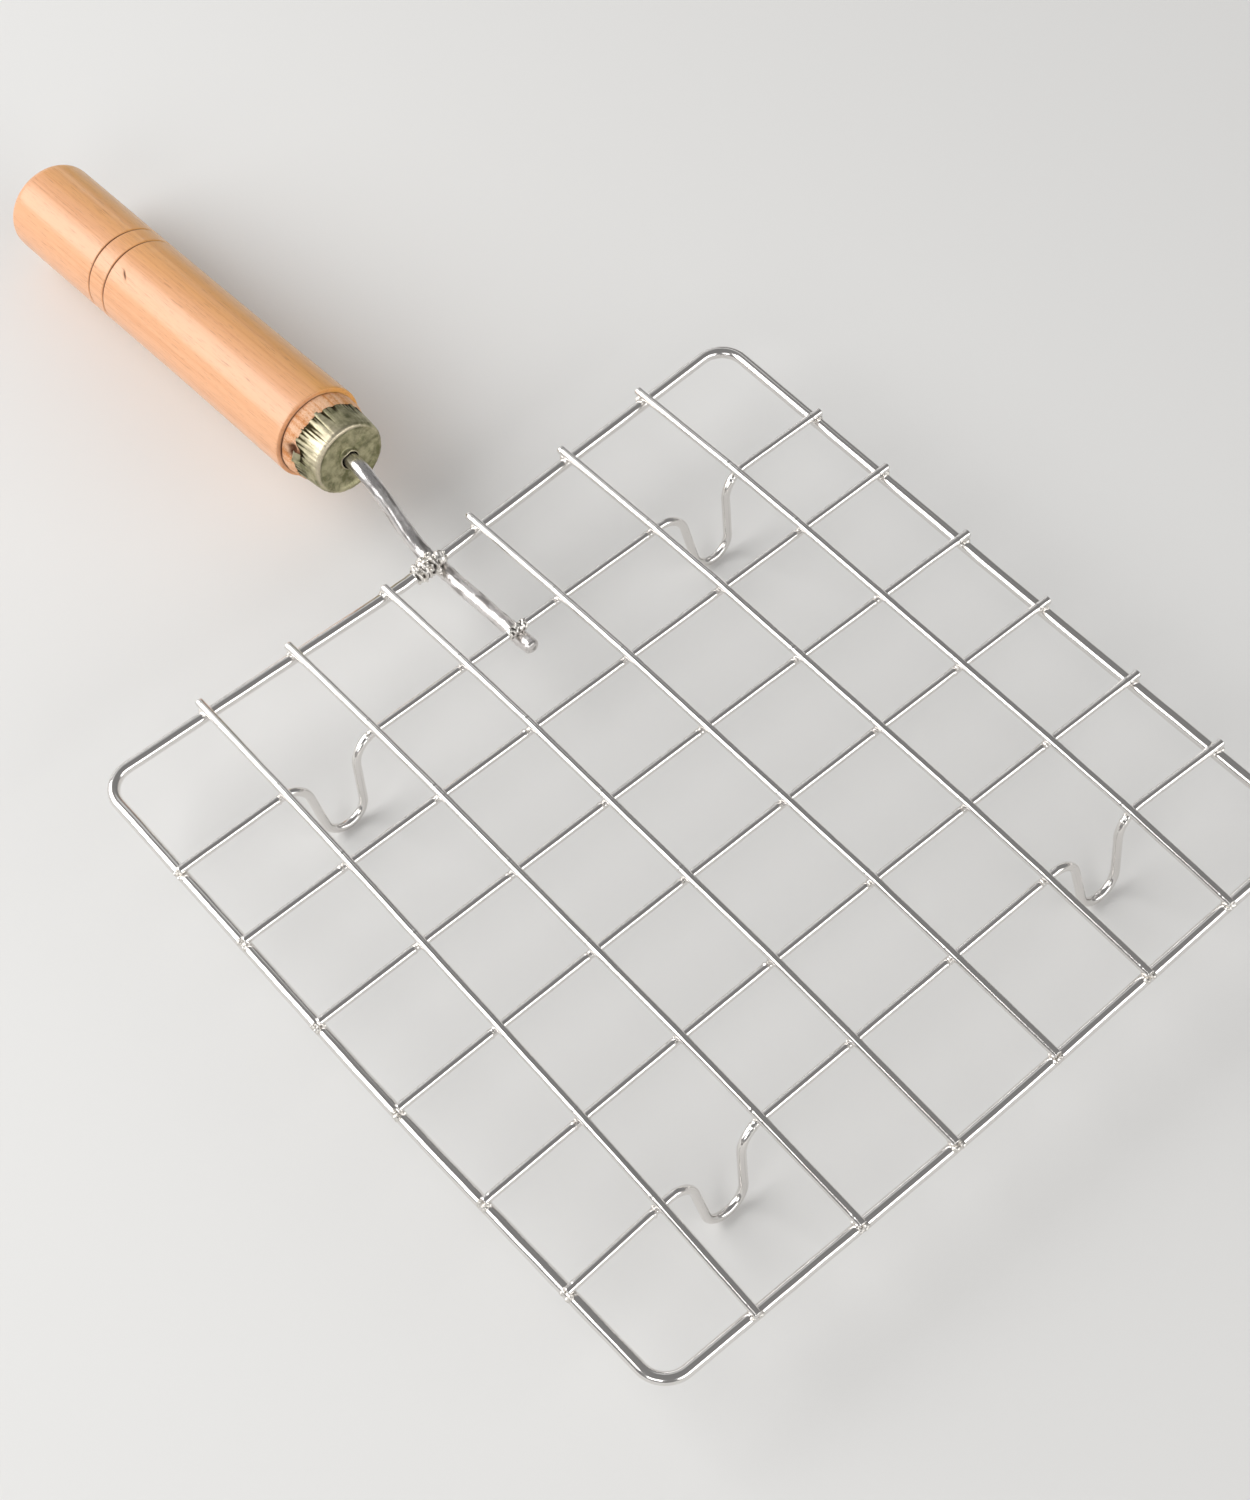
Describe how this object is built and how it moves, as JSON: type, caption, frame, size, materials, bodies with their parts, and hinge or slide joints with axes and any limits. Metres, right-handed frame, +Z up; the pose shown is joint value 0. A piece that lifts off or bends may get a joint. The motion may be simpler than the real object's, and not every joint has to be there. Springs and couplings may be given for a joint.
{
  "type": "roasting grill net",
  "caption": "Square wire roasting net on bent-wire feet, with a bent rod, a crimped ferrule and a turned wooden handle.",
  "frame": {"origin": "under the middle of the whole object, on the plane the feet stand on", "axes": "+Z up; +Y from the handle towards the far side of the net; +X to the left of someone at the far side facing the handle"},
  "size_m": [0.2002, 0.3674, 0.0399],
  "materials": {
    "bright_wire": "bright drawn and plated wire",
    "rod_wire": "bright plate over rougher rod",
    "weld_metal": "lumpy plated weld",
    "tinplate": "dull grey-green tinplate, crimped",
    "beech": "satin lacquered pale wood"
  },
  "bodies": {
    "root": {"rim": "bright_wire", "long_wire_1": "bright_wire", "long_wire_2": "bright_wire", "long_wire_3": "bright_wire", "long_wire_4": "bright_wire", "long_wire_5": "bright_wire", "long_wire_6": "bright_wire", "cross_wire_1": "bright_wire", "cross_wire_2": "bright_wire", "cross_wire_3": "bright_wire", "cross_wire_4": "bright_wire", "cross_wire_5": "bright_wire", "cross_wire_6": "bright_wire", "handle_rod": "rod_wire", "ferrule": "tinplate", "wooden_handle": "beech", "rod_rim_weld": "weld_metal", "rod_wire_weld": "weld_metal", "long_wire_welds_near": "weld_metal", "long_wire_welds_far": "weld_metal", "cross_wire_welds_left": "weld_metal", "cross_wire_welds_right": "weld_metal"}
  },
  "joints": []
}
